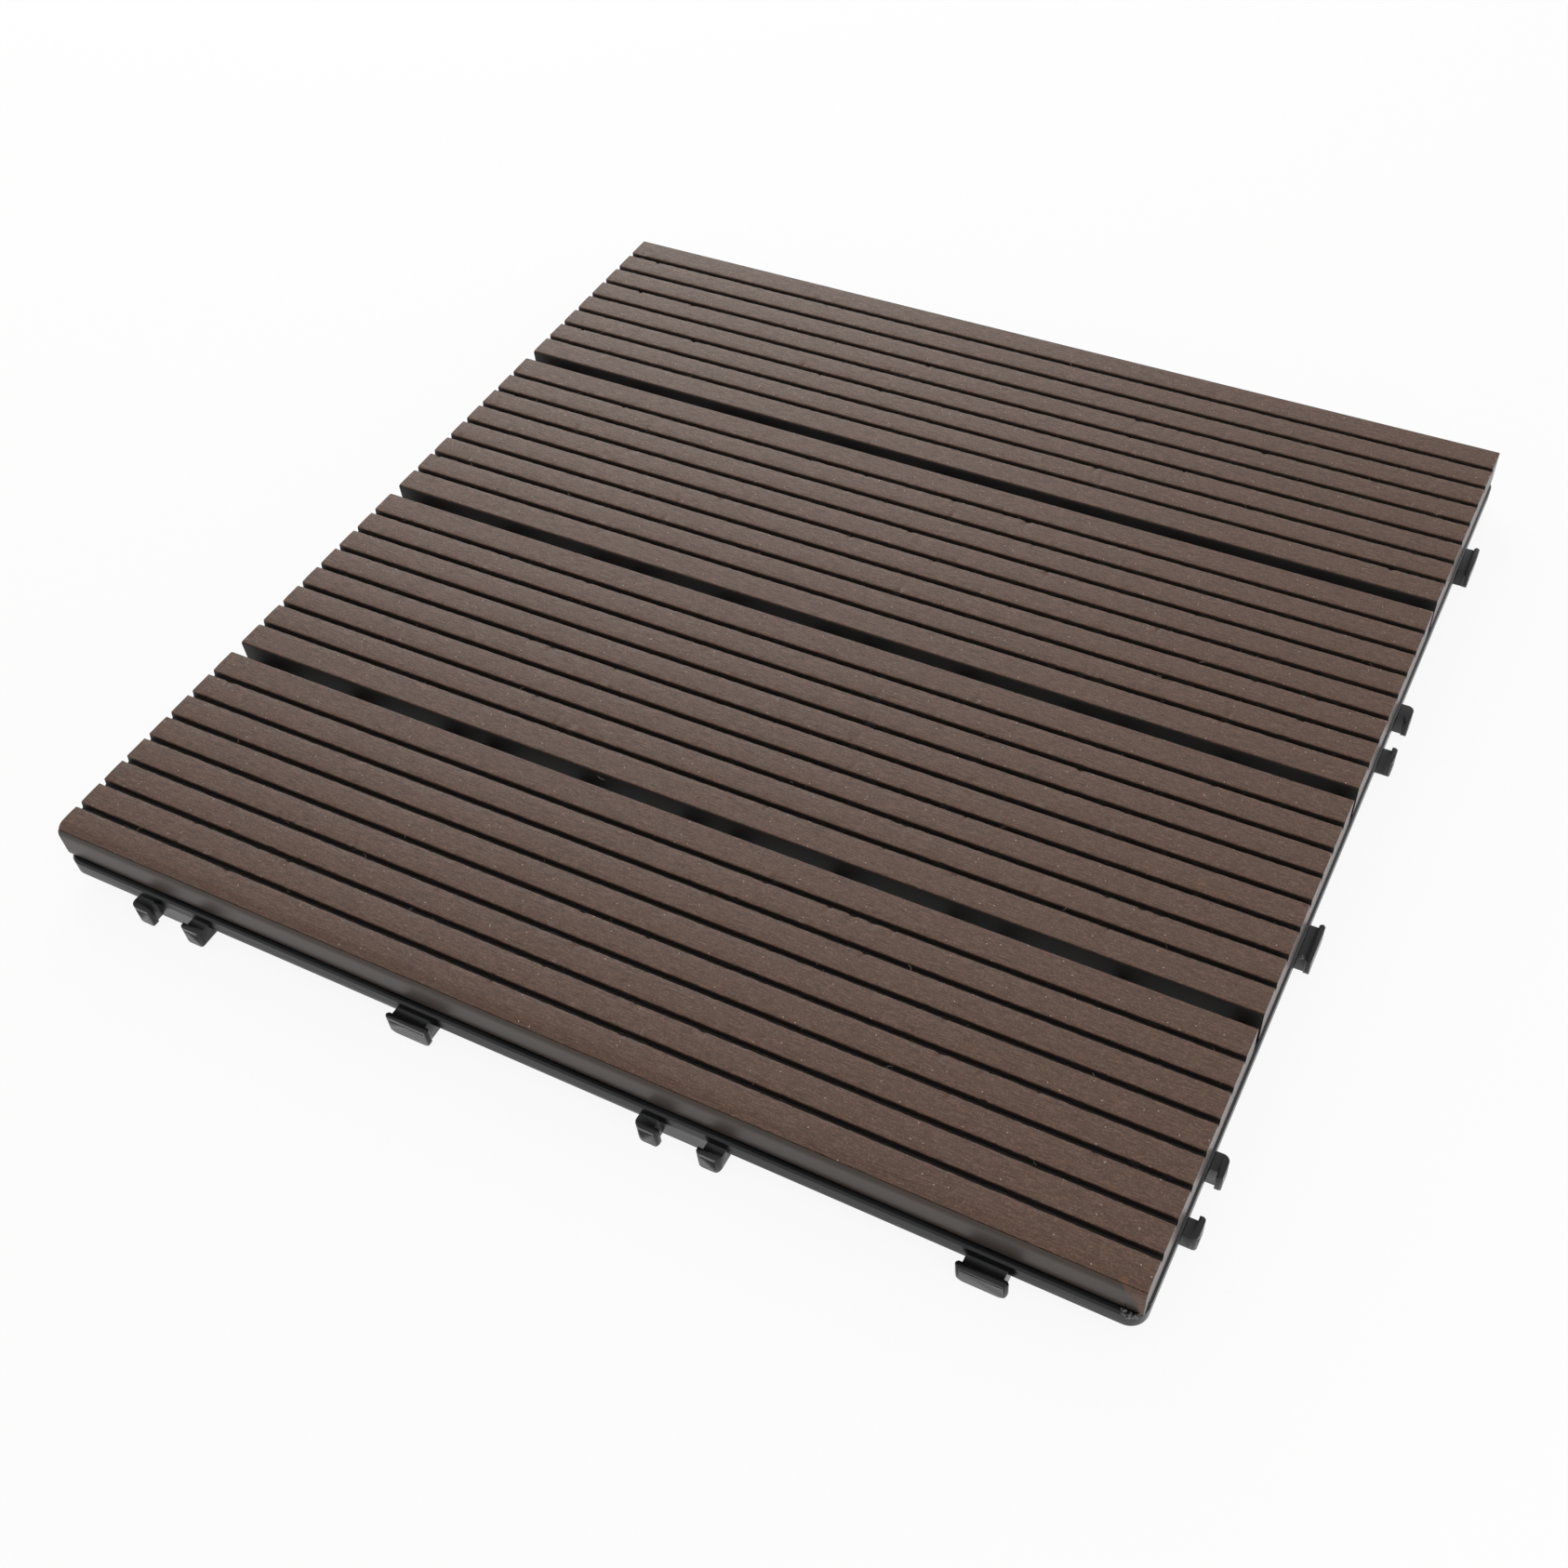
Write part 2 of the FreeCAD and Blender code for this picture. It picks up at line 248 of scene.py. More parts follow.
dark_skin = add(tree, RANGE, {0: clumps, 1: 0.35, 2: 0.65}, **SOFT)
skin = add(tree, MIX, {"Factor": dark_skin, "A": "#35271f", "B": "#302721"}, **COLOURS)
# Painted shade: in the grooves and on the sides between the boards the skin is painted near-black; only
# the open sides keep the skin's own colour.
skin = add(tree, MIX, {"Factor": open_side, "A": "#150f0c", "B": skin}, **COLOURS)
colour = add(tree, MIX, {"Factor": on_top, "A": skin, "B": colour}, **COLOURS)
torn_off = add(tree, MATH, {0: (torn, "Fac"), 1: fine}, operation="MULTIPLY")
bare = add(tree, RANGE, {0: torn_off, 1: 0.15, 2: 0.45}, **SOFT)
wood = add(tree, MIX, {"Factor": fine, "A": "#3c2617", "B": "#8a6246"}, **COLOURS)
colour = add(tree, MIX, {"Factor": bare, "A": colour, "B": wood}, **COLOURS)
tree.links.new(colour.outputs[2], shader.inputs["Base Color"])

rough_top = add(tree, RANGE, {0: streaks, 1: 0.3, 2: 0.7, 3: 0.58, 4: 0.48}, **SOFT)
rough_skin = add(tree, RANGE, {0: open_side, 3: SHELTERED_ROUGHNESS, 4: SKIN_ROUGHNESS})
rough = add(tree, MIX, {"Factor": on_top, "A": rough_skin, "B": rough_top})
tree.links.new(rough.outputs[0], shader.inputs["Roughness"])

relief = add(tree, MIX, {"Factor": 0.35, "A": streaks, "B": fine})
on_skin = add(tree, RANGE, {0: on_top, 3: 0.12})
height = add(tree, MATH, {0: relief, 1: on_skin}, operation="MULTIPLY")
bump = add(tree, "ShaderNodeBump", {"Strength": 0.6, "Distance": 0.12 * MM, "Height": height})
tree.links.new(bump.outputs[0], shader.inputs["Normal"])
print("material:", brushed_wpc.name)

# %% [markdown]
# ## The same composite, sawn
# The boards are cut to length with a circular saw. The blade smears the
# plastic, so the cut is greyer than the brushed top and a little glossy at a
# low angle, with fine arcs of the blade and open pores.

# %% Material: sawn ends
SAW_GRIT = 0.5              # mm
BLADE_ARCS = 4.0

sawn_wpc, tree, shader, place = new_material(
    "wood-plastic composite, sawn", IOR=1.5, Specular_IOR_Level=0.5, Roughness=0.36)
grit = add(tree, NOISE, {"Vector": (place, "Object"), "Scale": per_metre(SAW_GRIT), "Detail": 3.0})
marks = add(tree, "ShaderNodeTexWave", {"Vector": (place, "Object"), "Scale": per_metre(BLADE_ARCS),
            "Distortion": 2.5, "Detail": 2.0}, bands_direction="Y")
pores = add(tree, RANGE, {0: grit, 1: 0.38, 2: 0.62}, **SOFT)
colour = add(tree, MIX, {"Factor": pores, "A": "#3d342e", "B": "#685e57"}, **COLOURS)
arcs = add(tree, RANGE, {0: marks, 1: 0.2, 2: 0.8, 4: 0.25}, **SOFT)
colour = add(tree, MIX, {"Factor": arcs, "A": colour, "B": "#3a302a"}, **COLOURS)
tree.links.new(colour.outputs[2], shader.inputs["Base Color"])
bump = add(tree, "ShaderNodeBump", {"Strength": 0.3, "Distance": 0.12 * MM, "Height": grit})
tree.links.new(bump.outputs[0], shader.inputs["Normal"])
print("material:", sawn_wpc.name)

# %% [markdown]
# ## Black polypropylene, moulded
# The grid is injection-moulded in carbon-black polypropylene. The mould was
# finely spark-eroded, which leaves an even texture: black with a satin shine
# and faint flow clouds.

# %% Material: moulded black polypropylene
FLOW_CLOUDS = 18.0          # mm
EROSION = 0.35

black_pp, tree, shader, place = new_material(
    "polypropylene, carbon black, injection moulded", IOR=1.49, Specular_IOR_Level=0.38)
clouds = add(tree, NOISE, {"Vector": (place, "Object"), "Scale": per_metre(FLOW_CLOUDS), "Detail": 3.0})
erosion = add(tree, NOISE, {"Vector": (place, "Object"), "Scale": per_metre(EROSION), "Detail": 2.0})
cloudy = add(tree, RANGE, {0: clouds, 1: 0.35, 2: 0.65}, **SOFT)
colour = add(tree, MIX, {"Factor": cloudy, "A": "#060708", "B": "#0c0d0e"}, **COLOURS)
tree.links.new(colour.outputs[2], shader.inputs["Base Color"])
satin = add(tree, RANGE, {0: clouds, 1: 0.3, 2: 0.7, 3: 0.22, 4: 0.31}, **SOFT)
tree.links.new(satin.outputs[0], shader.inputs["Roughness"])
bump = add(tree, "ShaderNodeBump", {"Strength": 0.25, "Distance": 0.06 * MM, "Height": erosion})
tree.links.new(bump.outputs[0], shader.inputs["Normal"])
print("material:", black_pp.name)

# %% [markdown]
# ## Zinc-plated steel
# The screws are cold-headed steel wire with a thin zinc plating: a grey,
# slightly cloudy metal.

# %% Material: zinc-plated steel
PLATING_CLOUDS = 1.5        # mm

zinc, tree, shader, place = new_material("steel, cold-headed and zinc plated", Metallic=1.0)
bloom = add(tree, NOISE, {"Vector": (place, "Object"), "Scale": per_metre(PLATING_CLOUDS), "Detail": 3.0})
cloudy = add(tree, RANGE, {0: bloom, 1: 0.35, 2: 0.65}, **SOFT)
colour = add(tree, MIX, {"Factor": cloudy, "A": "#9fa3a8", "B": "#b9bcc0"}, **COLOURS)
tree.links.new(colour.outputs[2], shader.inputs["Base Color"])
satin = add(tree, RANGE, {0: bloom, 1: 0.3, 2: 0.7, 3: 0.28, 4: 0.42}, **SOFT)
tree.links.new(satin.outputs[0], shader.inputs["Roughness"])
print("material:", zinc.name)

# %% [markdown]
# ## Section of a slat
# An extruded board is one section pushed along a line, so the section is all
# that has to be drawn: a closed outline of points in the plane across the
# board. Every point also carries two numbers: how ragged the brush leaves
# that spot, and whether it was brushed at all. A long edge is an arc. Its
# lower part keeps the skin of the die, and from a given angle up the brush
# has taken a few hundredths of a millimetre off, which leaves a crisp line.
# The outer edge of the front board is rounded more than the other seven. The
# photograph shows gaps of about 4 mm between the boards, and between the
# solids they are 5.3 mm. So each board is drawn a little wider than its solid
# on both long sides, about the same middle.

# %% Sizes of the section
EDGE_R = 0.7
FRONT_EDGE_R = 3.5
FOOT_R = 1.2
GROOVES = 7
OUTER_RIB_W = 9.06
GROOVE_W = 1.7
GROOVE_TAPER = 0.3
GROOVE_D = 2.1
GROOVE_FOOT_R = 0.25
ARRIS_R = 0.35              # brushed-off edge of a rib
ARRIS_DOWN = 0.55           # brushed part of a groove's wall
LAND_STEP = 2.2             # longest stretch between two points of the section
BRUSH_TAKES = 0.06          # what the brush takes off
NOTCH_D = 0.14              # and how much deeper it bites in a fine line where it stops
NOTCH_W = 0.2
SKIN_TO = 38.0              # degrees of a long edge, from the side up, that keep their skin
FRONT_SKIN_TO = 35.0
ARC_STEP = 9.0              # degrees between two points of a long edge
EDGE_RAGGED = 0.4           # how ragged the brushed part of a long edge gets
LAND_RAGGED = 0.15          # and the top of a rib
BOARD_PROUD = 0.70          # on each long side, beyond the solid it stands for

box_low, box_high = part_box("slat_front")
SEAT_Z = box_low.z
SLAT_W = (box_high.y - box_low.y) / MM + 2.0 * BOARD_PROUD
SLAT_T = (box_high.z - box_low.z) / MM
LAND = SLAT_T - BRUSH_TAKES
GROOVE_PITCH = (SLAT_W - 2.0 * OUTER_RIB_W) / (GROOVES - 1)
print("slat:", round(SLAT_W, 2), "by", round(SLAT_T, 2), "mm, groove pitch", round(GROOVE_PITCH, 2))


# %% Section of a slat
def long_edge(radius, skin_to):
    """The rounded long edge at +y, from the side up: (y, z, radius, steps, ragged, brushed)."""
    worn = radius - BRUSH_TAKES
    brushed_from = skin_to + math.degrees(NOTCH_W / radius)
    skin_steps = math.ceil(skin_to / ARC_STEP)
    brush_steps = math.ceil((90.0 - brushed_from) / ARC_STEP)
    spots = [(skin_to * k / skin_steps, radius, 0.0, 0) for k in range(skin_steps + 1)]
    spots.append((skin_to, worn - NOTCH_D, 1.0, 1))
    spots += [(brushed_from + (90.0 - brushed_from) * k / brush_steps, worn, EDGE_RAGGED, 1)
              for k in range(brush_steps + 1)]
    return [(SLAT_W / 2.0 - radius + reach * math.cos(math.radians(angle)),
             SLAT_T - radius + reach * math.sin(math.radians(angle)), 0, 0, ragged, brushed_here)
            for angle, reach, ragged, brushed_here in spots]


def slat_corners(outer_edge):
    """Corners anticlockwise, in long_edge's terms. outer_edge is the edge at -y."""
    top = GROOVE_W / 2.0
    lip = top - GROOVE_TAPER * ARRIS_DOWN / GROOVE_D
    foot = top - GROOVE_TAPER
    wall = [(top, LAND, ARRIS_R, 3, 1, 1), (lip, LAND - ARRIS_DOWN, 0, 0, 0.7, 0),
            (foot, SLAT_T - GROOVE_D, GROOVE_FOOT_R, 1, 0.2, 0)]
    corners = [(side * SLAT_W / 2.0, 0, FOOT_R, 3, 0, 0) for side in (-1, 1)]
    corners += long_edge(EDGE_R, SKIN_TO)
    for i in reversed(range(GROOVES)):
        c = (i - (GROOVES - 1) / 2.0) * GROOVE_PITCH
        corners += [(c + y, *rest) for y, *rest in wall]
        corners += [(c - y, *rest) for y, *rest in reversed(wall)]
    corners += [(-y, *rest) for y, *rest in reversed(outer_edge)]
    return corners


def outline(corners):
    """Rounds the corners and fills the long runs between them."""
    points = []
    for i, (y, z, radius, steps, ragged, brushed_here) in enumerate(corners):
        if radius == 0:
            points.append((y, z, ragged, brushed_here))
            continue
        here = Vector((y, z))
        back = (Vector(corners[i - 1][:2]) - here).normalized()
        ahead = (Vector(corners[(i + 1) % len(corners)][:2]) - here).normalized()
        half = back.angle(ahead) / 2.0
        run = radius / math.tan(half)
        middle = here + (back + ahead).normalized() * (radius / math.sin(half))
        start = here + back * run - middle
        turn = start.angle_signed(here + ahead * run - middle)
        for k in range(steps + 1):
            spot = middle + Matrix.Rotation(-turn * k / steps, 2) @ start
            points.append((spot.x, spot.y, ragged, brushed_here))
    filled = []
    for i, first in enumerate(points):
        second = points[(i + 1) % len(points)]
        parts = max(1, math.ceil(math.dist(first[:2], second[:2]) / LAND_STEP))
        on_land = first[3] > 0.5 and second[3] > 0.5
        filled.append(first)
        for k in range(1, parts):
            y, z = [first[axis] + (second[axis] - first[axis]) * k / parts for axis in (0, 1)]
            filled.append((y, z, LAND_RAGGED if on_land else 0.0, 1.0 if on_land else 0.0))
    return filled


# %% The two sections as meshes
sections = {}
for name, outer_edge in (("front_section", long_edge(FRONT_EDGE_R, FRONT_SKIN_TO)),
                         ("section", long_edge(EDGE_R, SKIN_TO))):
    points = outline(slat_corners(outer_edge))
    made = bpy.data.meshes.new("slat_" + name)
    made.from_pydata([(-y * MM, -z * MM, 0.0) for y, z, _, _ in points],
                     [(i, (i + 1) % len(points)) for i in range(len(points))], [])
    for layer_name, column in (("ragged", 2), ("brushed", 3)):
        layer = made.attributes.new(layer_name, "FLOAT", "POINT")
        for i, point in enumerate(points):
            layer.data[i].value = point[column]
    sections[name] = made
    print(made.name + ":", len(points), "points")

# %% [markdown]
# ## The extruder as a Geometry Nodes tree
# The tree pushes the section along a straight rail, as the die does, and then
# lets the brush work on it. A fine noise eats into the rib edges everywhere,
# and a second one, cut off below a limit, breaks out a nick here and there.
# At the right end of the front board the brush also ran down over the side,
# which the tree marks by a slanting limit, and near it a splinter was torn
# out. The inputs are the sizes of the board. The same tree makes all four
# slats; the noise reads the place of each point, so no two come out alike.

# %% Geometry Nodes: rail and die
RING_STEP = 0.62            # mm between two rings of points along the board
WEAR_DEPTH = 0.10
NICK_DEPTH = 0.36
TORN_DEPTH = 0.45
WEAR_SIZE = 1.9
NICK_SIZE = 3.4
WORN_PART = 38.0            # mm, stretch of board with more nicks than the next one
NICKS_RARE = 0.74           # a nick starts where its noise passes this limit
NICKS_COMMON = 0.63
ACROSS_FINER = (1.0, 1.6, 1.6)
ENDWISE = 0.9               # least X of a normal that belongs to a sawn end


def geometry_tree(name, sockets):
    """An empty tree with one geometry in and out and the named inputs."""
    made = bpy.data.node_groups.new(name, "GeometryNodeTree")
    made.interface.new_socket(name="Geometry", in_out="INPUT", socket_type="NodeSocketGeometry")
    made.interface.new_socket(name="Geometry", in_out="OUTPUT", socket_type="NodeSocketGeometry")
    for label, kind in sockets:
        made.interface.new_socket(name=label, in_out="INPUT", socket_type="NodeSocket" + kind)
    return made, add(made, "NodeGroupInput")


STORE = "GeometryNodeStoreNamedAttribute"
READ = "GeometryNodeInputNamedAttribute"
VECTOR_MATH = "ShaderNodeVectorMath"
NUMBER = {"data_type": "FLOAT"}
extruder, given = geometry_tree("extruded and brushed board", [
    ("Start", "Vector"), ("End", "Vector"), ("Ring Step", "Float"), ("Wear Depth", "Float"),
    ("Nick Depth", "Float"), ("Overrun Slope", "Float"), ("Half Width", "Float"), ("Torn At", "Vector"),
    ("Torn Reach", "Float"), ("Torn Depth", "Float"), ("Board", "Material"), ("Cut", "Material")])
rail = add(extruder, "GeometryNodeCurvePrimitiveLine", {"Start": (given, "Start"), "End": (given, "End")})
rail = add(extruder, "GeometryNodeResampleCurve", {"Curve": rail, "Length": (given, "Ring Step")},
           mode="LENGTH")
rail = add(extruder, "GeometryNodeSetCurveNormal", {"Curve": rail}, mode="Z_UP")
die = add(extruder, "GeometryNodeMeshToCurve", {"Mesh": (given, "Geometry")})
board = add(extruder, "GeometryNodeCurveToMesh", {"Curve": rail, "Profile Curve": die, "Fill Caps": True})

# %% Geometry Nodes: where the brush ran over the end
spot = add(extruder, "GeometryNodeInputPosition")
outwards = add(extruder, "GeometryNodeInputNormal")
facing = add(extruder, "ShaderNodeSeparateXYZ", {0: outwards})
here = add(extruder, "ShaderNodeSeparateXYZ", {0: spot})
last = add(extruder, "ShaderNodeSeparateXYZ", {0: (given, "End")})
from_end = add(extruder, MATH, {0: last, 1: here}, operation="SUBTRACT")
above_seat = add(extruder, MATH, {0: (here, "Z"), 1: (last, "Z")}, operation="SUBTRACT")
limit = add(extruder, MATH, {0: above_seat, 1: (given, "Overrun Slope")}, operation="MULTIPLY")
past = add(extruder, MATH, {0: from_end, 1: limit}, operation="LESS_THAN")
to_front = add(extruder, MATH, {0: (last, "Y"), 1: (here, "Y")}, operation="SUBTRACT")
front = add(extruder, MATH, {0: to_front, 1: (given, "Half Width")}, operation="GREATER_THAN")
overrun = add(extruder, MATH, {0: past, 1: front}, operation="MULTIPLY")
drawn_so = add(extruder, READ, {"Name": "brushed"}, **NUMBER)
now_brushed = add(extruder, MATH, {0: overrun, 1: drawn_so}, operation="MAXIMUM")
board = add(extruder, STORE, {"Geometry": board, "Name": "brushed", "Value": now_brushed}, **NUMBER)
away = add(extruder, VECTOR_MATH, {0: spot, 1: (given, "Torn At")}, operation="DISTANCE")
away = add(extruder, MATH, {0: (away, "Value"), 1: (given, "Torn Reach")}, operation="DIVIDE")
torn_here = add(extruder, RANGE, {0: away, 1: 0.5, 2: 1.0, 3: 1.0, 4: 0.0}, **SOFT)
board = add(extruder, STORE, {"Geometry": board, "Name": "torn", "Value": torn_here}, **NUMBER)

# %% Geometry Nodes: wear, nicks and finish
wear_place = add(extruder, VECTOR_MATH, {0: spot, 1: ACROSS_FINER}, operation="MULTIPLY")
wear = add(extruder, NOISE, {"Vector": wear_place, "Scale": per_metre(WEAR_SIZE), "Detail": 2.0})
nick_noise = add(extruder, NOISE, {"Vector": spot, "Scale": per_metre(NICK_SIZE), "Detail": 1.5})
worn_part = add(extruder, NOISE, {"Vector": spot, "Scale": per_metre(WORN_PART), "Detail": 0.0})
limit = add(extruder, RANGE, {0: worn_part, 1: 0.35, 2: 0.65, 3: NICKS_RARE, 4: NICKS_COMMON}, **SOFT)
past_limit = add(extruder, MATH, {0: nick_noise, 1: limit}, operation="SUBTRACT")
nick = add(extruder, RANGE, {0: past_limit, 1: 0.0, 2: 0.08, 4: (given, "Nick Depth")}, **SOFT)
eaten = add(extruder, RANGE, {0: wear, 1: 0.35, 2: 0.65, 4: (given, "Wear Depth")}, **SOFT)
both = add(extruder, MATH, {0: eaten, 1: nick}, operation="ADD")
ragged_here = add(extruder, READ, {"Name": "ragged"}, **NUMBER)
depth = add(extruder, MATH, {0: both, 1: ragged_here}, operation="MULTIPLY")
splinter = add(extruder, MATH, {0: torn_here, 1: (given, "Torn Depth")}, operation="MULTIPLY")
splinter = add(extruder, MATH, {0: splinter, 1: wear}, operation="MULTIPLY")
depth = add(extruder, MATH, {0: depth, 1: splinter}, operation="ADD")
back_in = add(extruder, MATH, {0: depth, 1: -1.0}, operation="MULTIPLY")
inwards = add(extruder, VECTOR_MATH, {0: outwards, "Scale": back_in}, operation="SCALE")
board = add(extruder, "GeometryNodeSetPosition", {"Geometry": board, "Offset": inwards})
board = add(extruder, "GeometryNodeSetMaterial", {"Geometry": board, "Material": (given, "Board")})
endwise = add(extruder, MATH, {0: facing}, operation="ABSOLUTE")
is_cut = add(extruder, MATH, {0: endwise, 1: ENDWISE}, operation="GREATER_THAN")
board = add(extruder, "GeometryNodeRealizeInstances", {"Geometry": board})
board = add(extruder, "GeometryNodeSetMaterial", {"Geometry": board, "Selection": is_cut,
            "Material": (given, "Cut")})
add(extruder, "NodeGroupOutput", {0: board})
print("tree:", extruder.name, "with", len(extruder.nodes), "nodes")

# %% [markdown]
# ## Run a tree and keep its result
# A modifier holds the tree and its inputs. The evaluated result becomes a
# plain mesh, so the finished piece has no live modifier, and its edges are
# marked sharp where the surface really turns.

# %% Run a tree
SHARP = math.radians(38.0)


def grow(name, base_mesh, group, values, instead_of=()):
    """Runs the tree on a mesh and hands over the piece it makes."""
    piece = new_object(name, base_mesh)
    modifier = piece.modifiers.new(group.name, "NODES")
    modifier.node_group = group
    for item in group.interface.items_tree:
        if item.in_out == "INPUT" and item.name in values:
            modifier[item.identifier] = values[item.name]
    result = evaluated_mesh(piece)
    piece.modifiers.remove(modifier)
    piece.data = result
    result.name = name
    hand_over(piece, instead_of)


def hand_over(piece, instead_of=(), body="root"):
    """Smooth shading with true edges, then the calls that tie it to the frame."""
    piece.data.shade_smooth()
    piece.data.set_sharp_from_angle(angle=SHARP)
    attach(piece, body)
    if instead_of:
        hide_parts(*instead_of)
    piece.data.calc_loop_triangles()
    print("piece:", piece.name, len(piece.data.loop_triangles), "triangles")


# %% Slats
OVERRUN_SLOPE = 0.55        # length of the overrun for each mm above the seat, front board only
TORN_AT = (144.0, -147.7, 20.4)
TORN_REACH = 1.3
SLAT_NODES = ("slat_front", "slat_second", "slat_third", "slat_back")

for node in SLAT_NODES:
    low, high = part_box(node)
    middle_y = (low.y + high.y) / 2.0
    is_front = node == SLAT_NODES[0]
    values = {"Start": (low.x, middle_y, low.z), "End": (high.x, middle_y, low.z),
              "Ring Step": RING_STEP * MM, "Wear Depth": WEAR_DEPTH * MM,
              "Nick Depth": NICK_DEPTH * MM, "Overrun Slope": OVERRUN_SLOPE if is_front else 0.0,
              "Half Width": (SLAT_W / 2.0 - FRONT_EDGE_R) * MM,
              "Torn At": [v * MM for v in TORN_AT], "Torn Reach": TORN_REACH * MM,
              "Torn Depth": TORN_DEPTH * MM, "Board": brushed_wpc, "Cut": sawn_wpc}
    grow(node + "_board", sections["front_section" if is_front else "section"], extruder, values,
         instead_of=[node])

# %% [markdown]
# ## The grid
# The grid's shape in the CAD model is right; what it lacks is the small
# rounding that every moulded edge has, which catches the light as a thin
# line. A merged copy of the mesh gets it from a narrow bevel on its edges.

# %% Grid with moulded edges
MOULD_R = 0.24
EDGE_ANGLE = math.radians(30.0)
LIP_GROOVE = (5.0, 5.6)     # mm above the floor: these grooves' edges stay crisp
MERGE_WITHIN = 0.002        # mm between two points that are one
FLAT_WITHIN = math.radians(1.0)

grid_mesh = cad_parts["base_grid"].data.copy()
work = bmesh.new()
work.from_mesh(grid_mesh)
bmesh.ops.remove_doubles(work, verts=work.verts, dist=MERGE_WITHIN * MM)
bmesh.ops.dissolve_limit(work, angle_limit=FLAT_WITHIN, verts=work.verts, edges=work.edges)
weight = work.edges.layers.float.new("bevel_weight_edge")
for edge in work.edges:
    in_groove = all(LIP_GROOVE[0] < v.co.z / MM < LIP_GROOVE[1] for v in edge.verts)
    turns = edge.is_manifold and edge.calc_face_angle() > EDGE_ANGLE
    edge[weight] = 1.0 if turns and not in_groove else 0.0
work.to_mesh(grid_mesh)
work.free()
grid_mesh.materials.clear()
grid_mesh.materials.append(black_pp)
grid = new_object("grid_moulding", grid_mesh)
rounding = grid.modifiers.new("mould rounding", "BEVEL")
rounding.width = MOULD_R * MM
rounding.segments = 2
rounding.limit_method = "WEIGHT"
rounding.use_clamp_overlap = True
grid.data = evaluated_mesh(grid)
grid.modifiers.clear()
hand_over(grid, ["base_grid"])

# %% [markdown]
# ## Mould marks
# A runner was cut off at the front right corner of the rim, and it left a
# lump and a rough little star there. A sprue left its stub on the top of a
# clip on the right side. Each is a low dome with an uneven outline, sunk a
# little into the plastic so that it grows out of it.

# %% Material: torn polypropylene
WHITENING_AND_HIGHLIGHT_SIZE = 0.6             # mm

torn_pp, tree, shader, place = new_material(
    "polypropylene, torn and whitened", IOR=1.49, Specular_IOR_Level=0.5, Roughness=0.35)
stretch = add(tree, NOISE, {"Vector": (place, "Object"), "Scale": per_metre(WHITENING_AND_HIGHLIGHT_SIZE), "Detail": 3.0})
whitened_and_painted_highlight = add(tree, RANGE, {0: stretch, 1: 0.42, 2: 0.62}, **SOFT)
# The grey is partly the stress whitening of the torn plastic and partly a painted highlight on the lumps.
colour = add(tree, MIX, {"Factor": whitened_and_painted_highlight, "A": "#141414", "B": "#70706f"}, **COLOURS)
tree.links.new(colour.outputs[2], shader.inputs["Base Color"])
bump = add(tree, "ShaderNodeBump", {"Strength": 0.6, "Distance": 0.15 * MM, "Height": stretch})
tree.links.new(bump.outputs[0], shader.inputs["Normal"])
print("material:", torn_pp.name)

# %% Mould marks
MARKS = (                   # x, y, z of the surface, radius, height, all in mm
    (145.2, -149.2, 10.0, 0.70, 1.00), (146.9, -149.35, 9.95, 0.75, 0.60),
    (148.0, -149.1, 10.0, 0.50, 0.45), (146.1, -149.75, 9.75, 0.50, 0.30),
    (149.6, -145.1, 9.9, 0.38, 0.35), (150.9, -43.3, 6.8, 0.60, 0.28))
MARK_SIDES = 12
MARK_SUNK = 0.5
MARK_RINGS = ((0.35, 0.92), (0.8, 0.6))     # shares of the height and of the radius
SEED_STEP = 1.7             # from one mark's wobble to the next


def dome(work, x, y, z, radius, height, seed):
    """A closed low dome whose rim is pulled in and out by a fixed wobble."""
    rings = []
    for level, shrink in [(-MARK_SUNK, 1.0)] + [(height * up, shrink) for up, shrink in MARK_RINGS]:
        ring = []
        for k in range(MARK_SIDES):
            angle = 2.0 * math.pi * k / MARK_SIDES
            wobble = 1.0 + 0.22 * math.sin(3.0 * angle + seed) + 0.12 * math.sin(5.0 * angle + 2.0 * seed)
            reach = radius * shrink * wobble
            ring.append(work.verts.new(((x + reach * math.cos(angle)) * MM,
                                        (y + reach * math.sin(angle)) * MM, (z + level) * MM)))
        rings.append(ring)
    tip = work.verts.new((x * MM, y * MM, (z + height) * MM))
    work.faces.new(list(reversed(rings[0])))
    for k in range(MARK_SIDES):
        after = (k + 1) % MARK_SIDES
        for lower, upper in zip(rings, rings[1:]):
            work.faces.new((lower[k], lower[after], upper[after], upper[k]))
        work.faces.new((rings[-1][k], rings[-1][after], tip))


work = bmesh.new()
for seed, mark in enumerate(MARKS):
    dome(work, *mark, seed=SEED_STEP * seed)
marks_mesh = written_out(work, "mould_marks")
marks_mesh.materials.append(torn_pp)
hand_over(new_object("mould_marks", marks_mesh))

# %% [markdown]
# ## Screws
# Eight pan-head screws hold the slats from below. One screw is turned like on
# a lathe: half of its outline is drawn and spun round its axis, with a domed
# head, a coarse thread and a point. A cross is cut into the head with a
# boolean. A tree then puts that screw on the eight bosses, each left at its
# own turn, as a screwdriver leaves them.

# %% One screw
HEAD_R = 3.5
HEAD_H = 2.3
SHANK_R = 1.75
CORE_R = 1.25
THREAD_PITCH = 1.3
NECK_L = 0.8                # plain shank under the head
POINT_L = 1.6
CROSS = (0.9, 4.2, 1.2)     # width, length and depth of the recess
SPIN_STEPS = 28
SEAM_WITHIN = 0.001         # mm between points that the spin leaves in one place

